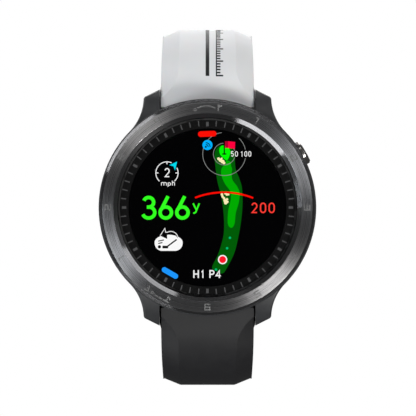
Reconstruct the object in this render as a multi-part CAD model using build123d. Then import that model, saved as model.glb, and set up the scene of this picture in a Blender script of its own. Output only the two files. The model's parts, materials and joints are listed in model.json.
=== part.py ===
from build123d import *
import os
from math import acos, asin, cos, degrees, pi, radians, sin, sqrt, tan

# Golf GPS watch, unbuckled, in millimetres.
# The parts are drawn in the watch's own frame: x towards 3 o'clock, y towards 12 o'clock and
# h, the third coordinate, out of the face, measured from the flat outer face of the rear cover.
# save() stands the watch up: +Z is then 12 o'clock, +Y points to the wrist, and the origin is
# the centre of the rear cover's outer face.
STAND_UP = Rot(90, 0, 0)

# Case
case_radius = 23.0
case_top = 10.5
case_bottom = 1.2
case_taper_top = 4.2
case_bottom_radius = 21.2
bore_radius = 18.0
rear_bore_radius = 16.6
rear_bore_top = 4.4

# Bezel, glass and dial
bezel_radius = 22.7
bezel_bore = 19.0
bezel_face_inner = 19.9
bezel_face_outer = 22.15
bezel_top = 13.2
bezel_fall = 0.1
bezel_chamfer_foot = 12.5
bezel_edge = 12.55
glass_radius = 18.9
glass_top = 12.5
glass_thickness = 1.1
marker_depth = 0.12
marker_stroke = 0.25
marker_height = 1.4
marker_width = 1.3
marker_radius = 21.03
ring_inner = 16.7
ring_top = 11.3
ring_thickness = 0.8
tick_thickness = 0.06
display_radius = 16.5
display_top = 11.25
display_thickness = 1.1

# Lugs and spring bars
lug_inner_x = 10.15
lug_tip_x = 13.5
lug_tip_y = 25.0
lug_corner_y = 23.3
bar_y = 22.4
bar_h = 3.9
bar_radius = 0.9
bar_length = 20.0
lever_from_tube_end = 2.8
lever_travel = 1.3
tip_radius = 0.55
tip_reach = 0.9
running_fit = 0.05
recess_wall_y = 19.2
recess_ceiling = 8.6

# Straps, measured along their outer surface
root_slope = 20.0
root_straight = 3.3
root_height = 3.2
knuckle_radius = 2.45
bend_radius = 17.0
strap_thickness = 2.6
root_width = 19.5
bend_width = 18.8
end_width = 16.4
taper_length = 12.0
upper_back_radius = 62.0
upper_back_length = 46.0
lower_back_radius = 80.0
lower_back_length = 84.0
hole_count = 11
hole_pitch = 6.0
first_hole = 9.0
hole_length = 3.6
hole_width = 2.4

# Buckle and keepers
pin_radius = 0.75
end_knuckle_radius = 2.0
buckle_inner_width = 17.2
buckle_outer_width = 21.2
buckle_front = 12.0
buckle_rear = -2.6
buckle_bar = 2.4
buckle_thickness = 2.0
buckle_curve = 40.0
tongue_width = 2.0
tongue_thickness = 1.4
keeper_length = 5.5
keeper_wall = 1.0
tail_allowance = 3.2
fixed_keeper_from_pin = 9.5
free_keeper_from_pin = 18.0

# Side button: its axis points out of the case at 2 o'clock
button_angle = 30.0
button_h = 7.0
button_radius = 2.6
button_face = 23.9
button_floor = 21.4
button_travel = 0.45
stem_radius = 1.0
stem_end = 17.0

# Inside the case
battery_size = (18.4, 22.0, 3.3)
battery_x = -2.2
battery_floor = 1.5
plate_floor = 5.1
plate_thickness = 0.6
board_floor = 5.8
board_thickness = 0.6
board_radius = 16.6
frame_radius = 17.8
frame_top = 9.6
motor_x = 11.2
motor_radius = 4.0
motor_floor = 1.5
motor_height = 2.7


# ---------------------------------------------------------------- helpers

def save(name, shape):
    """Write one node, stood up in the finished frame."""
    export_step(STAND_UP * shape, os.path.join("parts", name + ".step"))


def group(solids):
    """Several separate solids in one node."""
    return Compound(children=[s.solid() for s in solids])


def drum(radius, bottom, top, x=0.0, y=0.0):
    """A disc or short cylinder along h."""
    return Pos(x, y, bottom) * Cylinder(radius, top - bottom, align=(Align.CENTER, Align.CENTER, Align.MIN))


def tube(outer, inner, bottom, top, x=0.0, y=0.0):
    return drum(outer, bottom, top, x, y) - drum(inner, bottom - 1, top + 1, x, y)


def block(x0, x1, y0, y1, h0, h1):
    return Pos((x0 + x1) / 2, (y0 + y1) / 2, (h0 + h1) / 2) * Box(x1 - x0, y1 - y0, h1 - h0)


def turned(points):
    """A solid of revolution about the case axis from an outline of (radius, h) points."""
    outline = Polyline(*[(r, 0, h) for r, h in points], close=True)
    return revolve(make_face(outline), Axis.Z)


def along_x(radius, x0, x1, y, h):
    """A round bar parallel to the strap hinges."""
    bar = Cylinder(radius, x1 - x0, align=(Align.CENTER, Align.CENTER, Align.MIN))
    return Pos(x0, y, h) * Rot(0, 90, 0) * bar


def on_button_axis(shape):
    """Lay a shape drawn along +Z on the button's axis; Z then is the distance from the case axis."""
    return Rot(0, 0, button_angle) * Pos(0, 0, button_h) * Rot(0, 90, 0) * shape


def button_drum(radius, start, end):
    return on_button_axis(drum(radius, start, end))


def coil(radius, wire, length, turns):
    """A compression spring along +Z from z=0, with its wire inside that length."""
    height = length - 2 * wire
    path = Pos(0, 0, wire) * Helix(pitch=height / turns, height=height, radius=radius)
    section = Plane(origin=path @ 0, z_dir=path % 0) * Circle(wire)
    return sweep(section, path=path)


# ---------------------------------------------------------------- case

def lug():
    """The upper right lug: its outer side is an arc that leaves the case's circle smoothly."""
    arc_centre_y = lug_corner_y
    # The arc's centre lies level with the tip corner, at the x where circle and arc touch.
    arc_radius = (lug_tip_x**2 + arc_centre_y**2 - case_radius**2) / (2 * (case_radius - lug_tip_x))
    arc_centre_x = lug_tip_x + arc_radius
    reach = case_radius / sqrt(arc_centre_x**2 + arc_centre_y**2)
    touch = (arc_centre_x * reach, arc_centre_y * reach)
    half_way = pi + asin((arc_centre_y - touch[1]) / arc_radius) / 2
    bulge = (arc_centre_x + arc_radius * cos(half_way), arc_centre_y + arc_radius * sin(half_way))
    tip = (lug_tip_x, lug_corner_y)
    plan = [
        Line((lug_inner_x, 10), (lug_inner_x, lug_tip_y)),
        Line((lug_inner_x, lug_tip_y), tip),
        ThreePointArc(tip, bulge, touch),
        Line(touch, (14.0, 10)),
        Line((14.0, 10), (lug_inner_x, 10)),
    ]
    column = extrude(make_face(plan), 20)
    # Seen from the side, the lug is rounded at the wrist and falls away in an arc from the bezel.
    side = [
        Line((9, case_bottom), (23.2, case_bottom)),
        ThreePointArc((23.2, case_bottom), (24.7, 1.9), (25.4, 3.4)),
        Line((25.4, 3.4), (25.4, 5.2)),
        ThreePointArc((25.4, 5.2), (22.0, 8.4), (17.2, 10.0)),
        Line((17.2, 10.0), (9, 10.0)),
        Line((9, 10.0), (9, case_bottom)),
    ]
    profile = Plane.YZ * make_face(side)
    body = column & extrude(profile, 30)
    tip_edge = body.edges().filter_by(lambda e: abs(e.center().X - lug_tip_x) < 0.01 and e.length > 5)
    body = fillet(tip_edge, 0.8)
    above = body.edges().filter_by(lambda e: 5.3 < e.center().Z < 9.8)
    front = above.filter_by(lambda e: e.center().Y > 17.5 and e.center().X > lug_inner_x + 0.35)
    return fillet(front, 0.5)


def lugs():
    corner = lug()
    right = corner + mirror(corner, Plane.XZ)
    return right + mirror(right, Plane.YZ)


def case_body():
    shell = turned([
        (rear_bore_radius, case_bottom), (case_bottom_radius, case_bottom),
        (case_radius, case_taper_top), (case_radius, case_top - 0.25), (case_radius - 0.25, case_top),
        (bore_radius, case_top), (bore_radius, rear_bore_top), (rear_bore_radius, rear_bore_top),
    ])
    body = shell + (lugs() - drum(recess_wall_y, 0, 20))
    for side in (1, -1):
        low, high = sorted((side * recess_wall_y, side * 30))
        body -= block(-lug_inner_x, lug_inner_x, low, high, 0, recess_ceiling)
        hole_end = lug_inner_x + tip_reach + 0.4
        body -= along_x(tip_radius + running_fit, -hole_end, hole_end, side * bar_y, bar_h)
    body -= button_drum(button_radius + 0.15, button_floor, 30)
    body -= button_drum(stem_radius + running_fit, 15, 30)
    body -= button_drum(2.6, 16.0, 18.2)
    body -= tube(20.9, 20.1, case_top - 0.4, case_top + 1)
    body -= tube(17.7, 16.95, case_bottom - 1, case_bottom + 0.45)
    for x, y in rear_screw_places():
        body -= drum(0.8, 0, 4.2, x, y)
    return body


def rear_screw_places():
    return [(19.15 * cos(radians(a)), 19.15 * sin(radians(a))) for a in (45, 135, 225, 315)]


# ---------------------------------------------------------------- bezel markings

# Strokes of a squared numeral: each is the two ends of a line on a unit cell, one wide and one
# high, with its centre at 0, 0.
strokes = {
    "top": ((-0.5, 0.5), (0.5, 0.5)),
    "middle": ((-0.5, 0.0), (0.5, 0.0)),
    "bottom": ((-0.5, -0.5), (0.5, -0.5)),
    "upper_left": ((-0.5, 0.5), (-0.5, 0.0)),
    "upper_right": ((0.5, 0.5), (0.5, 0.0)),
    "lower_left": ((-0.5, 0.0), (-0.5, -0.5)),
    "lower_right": ((0.5, 0.0), (0.5, -0.5)),
    "stem": ((0.0, 0.5), (0.0, -0.5)),
    "serif": ((-0.3, 0.5), (0.0, 0.5)),
}
numerals = {
    1: ("stem", "serif"),
    2: ("top", "upper_right", "middle", "lower_left", "bottom"),
    3: ("top", "upper_right", "middle", "lower_right", "bottom"),
    4: ("upper_left", "middle", "upper_right", "lower_right"),
    5: ("top", "upper_left", "middle", "lower_right", "bottom"),
    6: ("top", "upper_left", "middle", "lower_left", "lower_right", "bottom"),
}


def groove(start, end):
    """A straight engraved stroke between two points of the plane, as a cutter from h=0 up."""
    (x0, y0), (x1, y1) = start, end
    length = sqrt((x1 - x0) ** 2 + (y1 - y0) ** 2)
    turn = degrees(acos((x1 - x0) / length)) * (1 if y1 >= y0 else -1)
    bar = Box(length + marker_stroke, marker_stroke, 1, align=(Align.CENTER, Align.CENTER, Align.MIN))
    return Pos((x0 + x1) / 2, (y0 + y1) / 2, 0) * Rot(0, 0, turn) * bar


def numeral(value):
    wide = marker_width - marker_stroke
    high = marker_height - marker_stroke
    return [
        groove(*[(x * wide, y * high) for x, y in strokes[name]])
        for name in numerals[value]
    ]


def ring_groove(x, y, radius):
    return tube(radius, radius - 0.2, 0, 1, x, y)


def full_shot_mark():
    """A ball, its flight in dashes and a flag: the mark at 12 o'clock."""
    cutters = [ring_groove(-2.6, -0.4, 0.34)]
    for step in range(4):
        x0 = -1.9 + 0.95 * step
        x1 = x0 + 0.6
        cutters.append(groove((x0, 0.45 - 0.16 * (x0 + 0.2) ** 2), (x1, 0.45 - 0.16 * (x1 + 0.2) ** 2)))
    cutters.append(groove((2.3, -0.6), (2.3, 0.6)))
    cutters.append(groove((2.3, 0.6), (2.95, 0.35)))
    cutters.append(groove((2.3, 0.1), (2.95, 0.35)))
    return cutters


def putt_mark():
    """A putter head, a rolling ball and the hole: the mark near 7 o'clock."""
    cutters = [
        groove((-2.9, -0.5), (-2.0, -0.5)),
        groove((-2.0, -0.5), (-2.3, 0.6)),
        ring_groove(-1.1, -0.35, 0.34),
        groove((-0.3, -0.5), (0.2, -0.5)),
        groove((0.7, -0.5), (1.2, -0.5)),
        groove((1.7, -0.5), (2.9, -0.5)),
        groove((2.3, -0.5), (2.3, 0.6)),
        groove((2.3, 0.6), (2.85, 0.3)),
    ]
    return cutters


def bezel_markings():
    """Numerals 1 to 6 twice round the bezel, with a mark for full shots and one for putts."""
    marks = [(0, False, full_shot_mark()), (210, True, putt_mark())]
    marks += [(30 * n, n > 3, numeral(n)) for n in range(1, 7)]
    marks += [(210 + 30 * n, False, numeral(n)) for n in range(1, 5)]
    cutters = []
    for clock_angle, upside_down, mark in marks:
        place = Rot(0, 0, -clock_angle) * Pos(0, marker_radius, bezel_top - marker_depth)
        if upside_down:
            place = place * Rot(0, 0, 180)
        cutters += [place * stroke for stroke in mark]
    return cutters


def bezel_ring():
    ring = turned([
        (bezel_bore, case_top), (bezel_radius - 0.15, case_top), (bezel_radius, case_top + 0.15),
        (bezel_radius, bezel_edge), (bezel_face_outer, bezel_top - bezel_fall),
        (bezel_face_inner, bezel_top),
        (bezel_bore, bezel_chamfer_foot),
    ])
    return ring - bezel_markings()


# ---------------------------------------------------------------- glass and dial

def cover_glass():
    return turned([
        (0, glass_top - glass_thickness), (glass_radius, glass_top - glass_thickness),
        (glass_radius, glass_top - 0.15), (glass_radius - 0.15, glass_top), (0, glass_top),
    ])


def minute_ring():
    return tube(18.85, ring_inner, ring_top - ring_thickness, ring_top)


def minute_marks():
    """Twelve broad hour ticks and forty-eight fine ones, printed thick on the ring."""
    marks = []
    for minute in range(60):
        hour = minute % 5 == 0
        inner, outer, width = (17.15, 18.1, 0.52) if hour else (17.25, 18.4, 0.24)
        tick = block(-width / 2, width / 2, inner, outer, ring_top + 0.005, ring_top + tick_thickness)
        marks.append(Rot(0, 0, 6 * minute) * tick)
    return group(marks)


def display_panel():
    bottom = display_top - display_thickness
    tab = block(-5, 5, -17.3, -14, bottom, bottom + 0.3)
    return drum(display_radius, bottom, display_top) + tab


def display_flex():
    """The panel's flat cable: out of the tab, down past the frame and in over the board."""
    top = display_top - display_thickness
    board_top = board_floor + board_thickness
    return (
        block(-4, 4, -17.35, -15.5, top - 0.12, top)
        + block(-4, 4, -17.35, -17.23, board_top + 0.6, top)
        + block(-4, 4, -17.35, -13.5, board_top + 0.48, board_top + 0.6)
    )


# ---------------------------------------------------------------- inside the case

def screw(x, y, head_bottom, head_radius, head_height, shank_radius, shank_end):
    """A pan head with a cross recess; the shank runs the other way from the head."""
    upwards = shank_end > head_bottom
    head_top = head_bottom + (-head_height if upwards else head_height)
    body = drum(head_radius, min(head_bottom, head_top), max(head_bottom, head_top), x, y)
    body += drum(shank_radius, min(head_bottom, shank_end), max(head_bottom, shank_end), x, y)
    depth = head_height * 0.5
    low = head_top if upwards else head_top - depth
    reach = head_radius * 1.3
    cross = Box(reach, 0.3, depth) + Box(0.3, reach, depth)
    return body - Pos(x, y, low + depth / 2) * cross


def board_screw_places():
    return [(14.6 * cos(radians(a)), 14.6 * sin(radians(a))) for a in (70, 190, 310)]


def inner_frame():
    """A moulded tray: a plate under the board, a wall round it, and three screw posts."""
    top = plate_floor + plate_thickness
    frame = drum(frame_radius, plate_floor, top) + tube(frame_radius, 17.0, plate_floor, frame_top)
    frame -= block(-5, 5, -20, -16.5, plate_floor - 1, frame_top + 1)
    frame -= button_drum(3.0, 13.2, 20)
    for x, y in board_screw_places():
        frame -= drum(0.5, plate_floor - 1, top + 1, x, y)
    return frame


def main_board():
    board = drum(board_radius, board_floor, board_floor + board_thickness)
    board -= block(-5, 5, -20, -15.4, 0, 20)
    board -= button_drum(1.4, 16.2, 20)
    for x, y in board_screw_places():
        board -= drum(0.55, 0, 20, x, y)
    return board


def board_parts():
    """Chips and crystals that stand on the board."""
    top = board_floor + board_thickness
    return group([
        block(-12.5, -8.5, 3.0, 6.0, top, top + 0.9),
        block(-13.0, -10.5, -3.5, -1.5, top, top + 0.7),
        block(3.5, 7.0, -11.5, -8.5, top, top + 0.8),
        block(8.5, 11.0, -4.0, -1.0, top, top + 0.9),
        block(-8.0, -5.0, -12.0, -10.5, top, top + 0.5),
    ])


def shield_can():
    top = board_floor + board_thickness
    can = block(-7, 2, -8, 1, top, top + 1.6)
    return can - block(-6.8, 1.8, -7.8, 0.8, top - 1, top + 1.4)


def gps_antenna():
    """A square ceramic patch with a silvered top."""
    top = board_floor + board_thickness
    return block(-4.5, 5.5, 2.4, 12.4, top, top + 2.4)


def board_screws():
    top = board_floor + board_thickness
    return group([screw(x, y, top, 0.95, 0.5, 0.5, plate_floor) for x, y in board_screw_places()])


def battery():
    wide, tall, thick = battery_size
    cell = Pos(battery_x, 0, battery_floor + thick / 2) * Box(wide, tall, thick)
    return fillet(cell.edges().filter_by(Axis.Z), 1.5)


def battery_pad():
    wide, tall, thick = battery_size
    low = battery_floor + thick
    half_wide, half_tall = wide / 2 - 2, tall / 2 - 2
    return block(battery_x - half_wide, battery_x + half_wide, -half_tall, half_tall, low, plate_floor)


def battery_connector():
    top = board_floor + board_thickness
    return block(-2.4, 2.4, -12.6, -10.2, top, top + 0.45)


def motor_can():
    wall = 0.2
    top = motor_floor + motor_height
    inside = drum(motor_radius - wall, motor_floor + wall, top - wall, motor_x)
    return drum(motor_radius, motor_floor, top, motor_x) - inside


def motor_shaft():
    return drum(0.4, motor_floor + 0.2, motor_floor + motor_height - 0.2, motor_x)


def motor_rotor():
    """A half disc whose weight is all on one side of the shaft."""
    low = motor_floor + 0.6
    high = motor_floor + motor_height - 0.6
    weight = drum(3.4, low, high, motor_x) - block(motor_x - 5, motor_x, -5, 5, low - 1, high + 1)
    hub = drum(1.1, low, high, motor_x)
    return weight + hub - drum(0.4 + running_fit, low - 1, high + 1, motor_x)


# ---------------------------------------------------------------- side button and its switch

def side_button():
    """A domed cap on a grooved stem; the cap's underside is hollow for the spring."""
    cap_foot = button_floor + button_travel + 0.25
    cap = turned([
        (0, cap_foot), (button_radius, cap_foot), (button_radius, button_face - 0.45),
        (button_radius - 0.4, button_face - 0.08), (1.2, button_face), (0, button_face),
    ])
    stem = drum(stem_radius, stem_end, 22.2)
    hollow = tube(2.1, stem_radius + 0.25, 21, 22.7)
    seal_grooves = tube(stem_radius + 1, 0.7, 18.9, 19.4) + tube(stem_radius + 1, 0.7, 20.1, 20.6)
    clip_groove = tube(stem_radius + 1, 0.75, 17.6, 17.9)
    return on_button_axis(cap + stem - hollow - seal_grooves - clip_groove)


def button_seals():
    seals = [tube(stem_radius + 0.03, 0.7, z + 0.03, z + 0.47) for z in (18.9, 20.1)]
    return group([on_button_axis(s) for s in seals])


def button_clip():
    ring = tube(1.9, 0.75, 17.62, 17.88) - block(0, 3, -0.6, 0.6, 17, 18)
    return on_button_axis(ring)


def button_spring():
    length = 22.7 - button_floor
    return on_button_axis(Pos(0, 0, button_floor) * coil(1.7, 0.14, length, 3))


def switch_body():
    """A side-push switch at the edge of the board."""
    z1 = stem_end - 0.55
    low = board_floor + board_thickness
    shell = block(z1 - 1.7, z1, -1.8, 1.8, low, low + 1.5)
    shell -= block(z1 - 1.2, z1 + 1, -0.65, 0.65, low + 0.2, low + 1.1)
    return Rot(0, 0, button_angle) * shell


def switch_plunger():
    z1 = stem_end - 0.55
    low = board_floor + board_thickness
    push = block(z1 - 0.6, stem_end - 0.02, -0.6, 0.6, low + 0.25, low + 1.05)
    return Rot(0, 0, button_angle) * push


# ---------------------------------------------------------------- back of the case

def contact_places():
    return [(-3.6 + 2.4 * n, -9.0) for n in range(4)]


def rear_cover():
    plate = turned([
        (0, 0), (20.2, 0), (20.7, 0.5), (20.7, case_bottom), (16.5, case_bottom), (16.5, 2.0),
        (15.4, 2.0), (15.4, case_bottom), (0, case_bottom),
    ])
    plate &= block(-25, 25, -recess_wall_y + 0.1, recess_wall_y - 0.1, -1, 5)
    plate -= block(-5.4, 5.4, -10.6, -7.4, -1, 3)
    for x, y in rear_screw_places():
        plate -= drum(0.9, -1, 3, x, y)
        plate -= drum(1.35, -1, 0.6, x, y)
    plate -= drum(0.5, -1, 3, 0, 12.0)
    return plate


def rear_gasket():
    return tube(17.65, 17.0, case_bottom, case_bottom + 0.42)


def rear_screws():
    return group([screw(x, y, 0.6, 1.25, 0.5, 0.8, 4.0) for x, y in rear_screw_places()])


def contact_carrier():
    carrier = block(-5.4, 5.4, -10.6, -7.4, 0.1, case_bottom + 0.25)
    for x, y in contact_places():
        carrier -= drum(0.8, -1, 3, x, y)
    return carrier


def charging_contacts():
    return group([drum(0.8, 0.1, case_bottom + 0.25, x, y) for x, y in contact_places()])


def vent_membrane():
    return drum(1.0, case_bottom, case_bottom + 0.15, 0, 12.0)


# ---------------------------------------------------------------- straps
# A strap is drawn in the plane of its side view, with u outward from the spring bar's axis and
# v towards the wrist.

slope = radians(root_slope)
outer_start_u = -1.2
outer_start_v = -root_height / cos(slope) + outer_start_u * tan(slope)
bend_start_u = root_height * sin(slope) + root_straight * cos(slope)
bend_start_v = -root_height * cos(slope) + root_straight * sin(slope)
bend_centre_u = bend_start_u - bend_radius * sin(slope)
bend_centre_v = bend_start_v + bend_radius * cos(slope)
bend_end_u = bend_centre_u + bend_radius

# The inner surface starts on the knuckle, runs straight, then bends to meet the thin part.
inner_start_u = -knuckle_radius * sin(slope)
inner_start_v = knuckle_radius * cos(slope)
rise_u = bend_end_u - strap_thickness - inner_start_u
rise_v = bend_centre_v - inner_start_v
turn_left = 1 - sin(slope)
inner_straight = (rise_u * cos(slope) - rise_v * turn_left) / (cos(slope) ** 2 - sin(slope) * turn_left)
inner_radius = (rise_v - inner_straight * sin(slope)) / cos(slope)
inner_bend_u = inner_start_u + inner_straight * cos(slope)
inner_bend_v = inner_start_v + inner_straight * sin(slope)


def back_turn(back_radius, back_length):
    return back_length / back_radius


def back_point(back_radius, turn, depth):
    """A point of the strap's back stretch, depth millimetres below its outer surface."""
    u = bend_end_u - back_radius + (back_radius - depth) * cos(turn)
    v = bend_centre_v + (back_radius - depth) * sin(turn)
    return u, v


def at_bar(u, v):
    """From a point of the strap's side view to (y, h) of the upper half of the watch."""
    return bar_y + u, bar_h - v


def strap_blank(back_radius, back_length):
    """The strap's side view extruded across, then trimmed to its taper."""
    turn = back_turn(back_radius, back_length)
    half = radians(root_slope + 90) / 2
    outer_start = at_bar(outer_start_u, outer_start_v)
    outer_bend = at_bar(bend_start_u, bend_start_v)
    outer_middle = at_bar(bend_centre_u + bend_radius * sin(half), bend_centre_v - bend_radius * cos(half))
    outer_end = at_bar(bend_end_u, bend_centre_v)
    inner_centre_u = inner_bend_u - inner_radius * sin(slope)
    inner_centre_v = inner_bend_v + inner_radius * cos(slope)
    inner_middle = at_bar(
        inner_centre_u + inner_radius * sin(half), inner_centre_v - inner_radius * cos(half))
    inner_end = at_bar(bend_end_u - strap_thickness, bend_centre_v)
    inner_bend = at_bar(inner_bend_u, inner_bend_v)
    inner_start = at_bar(inner_start_u, inner_start_v)
    knuckle_half = (slope + radians(90)) / 2
    knuckle_middle = at_bar(-knuckle_radius * sin(knuckle_half), knuckle_radius * cos(knuckle_half))
    knuckle_side = at_bar(-knuckle_radius, 0)
    tip_outer = at_bar(*back_point(back_radius, turn, 0))
    tip_inner = at_bar(*back_point(back_radius, turn, strap_thickness))
    outline = [
        Line(outer_start, outer_bend),
        ThreePointArc(outer_bend, outer_middle, outer_end),
        ThreePointArc(outer_end, at_bar(*back_point(back_radius, turn / 2, 0)), tip_outer),
        Line(tip_outer, tip_inner),
        ThreePointArc(tip_inner, at_bar(*back_point(back_radius, turn / 2, strap_thickness)), inner_end),
        ThreePointArc(inner_end, inner_middle, inner_bend),
        Line(inner_bend, inner_start),
        ThreePointArc(inner_start, knuckle_middle, knuckle_side),
        Line(knuckle_side, outer_start),
    ]
    side = Plane.YZ * make_face(outline)
    slab = extrude(side, root_width / 2, both=True)
    return slab & front_taper() & back_taper()


def front_taper():
    """Root width to bend width as the strap runs out from the case."""
    half_root, half_bend = root_width / 2, bend_width / 2
    bend_y = bar_y + bend_end_u
    right = [(half_root, -40), (half_root, bar_y + 3), (half_bend, bend_y), (half_bend, 60)]
    left = [(-x, y) for x, y in reversed(right)]
    outline = Polyline(*right, *left, close=True)
    return Pos(0, 0, -120) * extrude(make_face(outline), 160)


def back_taper():
    """Bend width to end width as the strap runs back towards the wrist, then parallel sides."""
    bend_h = bar_h - bend_centre_v
    parallel_h = bend_h - taper_length
    half_root, half_bend, half_end = root_width / 2, bend_width / 2, end_width / 2
    right = [
        (half_root, 20), (half_root, bar_h), (half_bend, bend_h), (half_end, parallel_h), (half_end, -120),
    ]
    left = [(-x, h) for x, h in reversed(right)]
    outline = Polyline(*right, *left, close=True)
    return Pos(0, 60, 0) * extrude(Plane.XZ * make_face(outline), 120)


def bar_hole(strap):
    """The spring bar's hole, and the slot on the wrist side that shows its release lever."""
    strap -= along_x(bar_radius + running_fit, -15, 15, bar_y, bar_h)
    lever_x = -bar_length / 2 + lever_from_tube_end
    slot = block(lever_x - 1.0, lever_x + lever_travel + 1.2, bar_y - 0.75, bar_y + 0.75, bar_h - 6, bar_h)
    return strap - slot


def pin_place():
    """Centre of the buckle pin, in the middle of the strap's thickness at its end."""
    turn = back_turn(upper_back_radius, upper_back_length)
    return at_bar(*back_point(upper_back_radius, turn, strap_thickness / 2))


def pin_heading():
    """Degrees from the +y direction to the strap's running direction at the pin."""
    return -(90 + degrees(back_turn(upper_back_radius, upper_back_length)))


def at_pin(shape):
    """Place a shape drawn at the pin: y runs on past the strap's end, h points outward."""
    y, h = pin_place()
    return Pos(0, y, h) * Rot(pin_heading(), 0, 0) * shape


def on_back(shape, from_pin):
    """Place a shape on the upper strap, from_pin millimetres before the pin."""
    turn = back_turn(upper_back_radius, upper_back_length - from_pin)
    y, h = at_bar(*back_point(upper_back_radius, turn, strap_thickness / 2))
    return Pos(0, y, h) * Rot(-90 - degrees(turn), 0, 0) * shape


def upper_strap():
    strap = bar_hole(strap_blank(upper_back_radius, upper_back_length))
    half = end_width / 2
    strap += at_pin(along_x(end_knuckle_radius, -half, half, 0, 0))
    strap -= at_pin(along_x(pin_radius + running_fit, -half - 1, half + 1, 0, 0))
    tongue_slot = block(-1.4, 1.4, -4.0, 5, -5, 5)
    return strap - at_pin(tongue_slot)


def lower_strap():
    strap = bar_hole(strap_blank(lower_back_radius, lower_back_length))
    for n in range(hole_count):
        turn = back_turn(lower_back_radius, lower_back_length - first_hole - n * hole_pitch)
        y, h = at_bar(*back_point(lower_back_radius, turn, strap_thickness / 2))
        hole = extrude(SlotOverall(hole_length, hole_width, rotation=90), 4, both=True)
        strap -= Pos(0, y, h) * Rot(-90 - degrees(turn), 0, 0) * hole
    return mirror(strap - strap_tip_cutter(), Plane.XZ)


def strap_tip_cutter():
    """What is cut from the tail's square end to leave it round."""
    radius = end_width / 2 + 1.5
    turn = back_turn(lower_back_radius, lower_back_length)
    y, h = at_bar(*back_point(lower_back_radius, turn, strap_thickness / 2))
    end = block(-15, 15, -6.9, 5, -4, 4)
    kept = Pos(0, -radius, 0) * Cylinder(radius, 12)
    return Pos(0, y, h) * Rot(-90 - degrees(turn), 0, 0) * (end - kept)


def bar_tube(side):
    """The spring bar's tube with its fixed tip, which sits in the right-hand lug."""
    half = bar_length / 2
    y = side * bar_y
    tube_shell = along_x(bar_radius, -half, half, y, bar_h) - along_x(0.62, -half - 1, half - 1.5, y, bar_h)
    lever_x = -half + lever_from_tube_end
    lever_slot = block(lever_x - 0.2, lever_x + lever_travel + 0.9, y - 0.4, y + 0.4, bar_h - 2, bar_h)
    tip = along_x(tip_radius, half - 1, lug_inner_x + tip_reach, y, bar_h)
    return tube_shell - lever_slot + tip


def release_lever(side):
    """The sliding tip with the thumb lever that pulls it back."""
    half = bar_length / 2
    y = side * bar_y
    lever_x = -half + lever_from_tube_end
    tip = along_x(tip_radius, -lug_inner_x - tip_reach, lever_x + 0.7, y, bar_h)
    lever = block(lever_x, lever_x + 0.7, y - 0.35, y + 0.35, bar_h - 2.6, bar_h)
    return tip + lever


def bar_spring(side):
    start = -bar_length / 2 + lever_from_tube_end + 0.75
    end = bar_length / 2 - 1.55
    spring = coil(0.48, 0.1, end - start, 10)
    return Pos(start, side * bar_y, bar_h) * Rot(0, 90, 0) * spring


# ---------------------------------------------------------------- buckle and keepers

def buckle_pin():
    return at_pin(along_x(pin_radius, -buckle_outer_width / 2 + 0.3, buckle_outer_width / 2 - 0.3, 0, 0))


def curved_band(thickness, rise):
    """A band bent round the wrist, for cutting the buckle to a gentle curve."""
    centre = Pos(0, (buckle_front + buckle_rear) / 2, rise - buckle_curve)
    band = Cylinder(buckle_curve + thickness / 2, 40) - Cylinder(buckle_curve - thickness / 2, 42)
    return centre * Rot(0, 90, 0) * band


def buckle_frame():
    outer = buckle_outer_width / 2
    inner = buckle_inner_width / 2
    ring = block(-outer, outer, buckle_rear, buckle_front, -5, 5)
    ring = fillet(ring.edges().filter_by(Axis.Z), 2.2)
    window = block(-inner, inner, buckle_rear - 5, buckle_front - buckle_bar, -6, 6)
    frame = (ring - window) & curved_band(buckle_thickness, 0.55)
    eyes = along_x(1.5, -outer, -inner, 0, 0) + along_x(1.5, inner, outer, 0, 0)
    frame += eyes
    frame -= along_x(pin_radius, -outer + 0.3, outer - 0.3, 0, 0)
    return at_pin(frame)


def buckle_tongue():
    """A flat prong that turns on the pin and lies on the frame's front bar."""
    rest = 1.45
    profile = [
        Line((0.3, 0.1), (buckle_front - buckle_bar - 2.4, rest)),
        Line((buckle_front - buckle_bar - 2.4, rest), (buckle_front + 0.5, rest - 0.1)),
        Line((buckle_front + 0.5, rest - 0.1), (buckle_front + 0.3, rest + tongue_thickness - 0.5)),
        Line((buckle_front + 0.3, rest + tongue_thickness - 0.5),
             (buckle_front - buckle_bar - 2.4, rest + tongue_thickness)),
        Line((buckle_front - buckle_bar - 2.4, rest + tongue_thickness), (0.3, 0.1 + tongue_thickness)),
        Line((0.3, 0.1 + tongue_thickness), (0.3, 0.1)),
    ]
    half = tongue_width / 2
    prong = extrude(Plane.YZ * make_face(profile), half, both=True)
    eye = along_x(1.7, -half, half, 0, 0)
    return at_pin(prong + eye - along_x(pin_radius + running_fit, -half - 1, half + 1, 0, 0))


def keeper(gap):
    """A closed loop round the strap with room on its outer side for the strap's tail."""
    half = end_width / 2 + 0.15 + gap
    low = -strap_thickness / 2 - gap
    high = strap_thickness / 2 + tail_allowance
    loop = block(-half - keeper_wall, half + keeper_wall, -keeper_length / 2, keeper_length / 2,
                 low - keeper_wall, high + keeper_wall)
    loop = fillet(loop.edges().filter_by(Axis.Y), 1.2)
    return loop - block(-half, half, -keeper_length, keeper_length, low, high)


def fixed_keeper():
    return on_back(keeper(0.12), fixed_keeper_from_pin)


def free_keeper():
    return on_back(keeper(0.3), free_keeper_from_pin)


# ---------------------------------------------------------------- write every node

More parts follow.
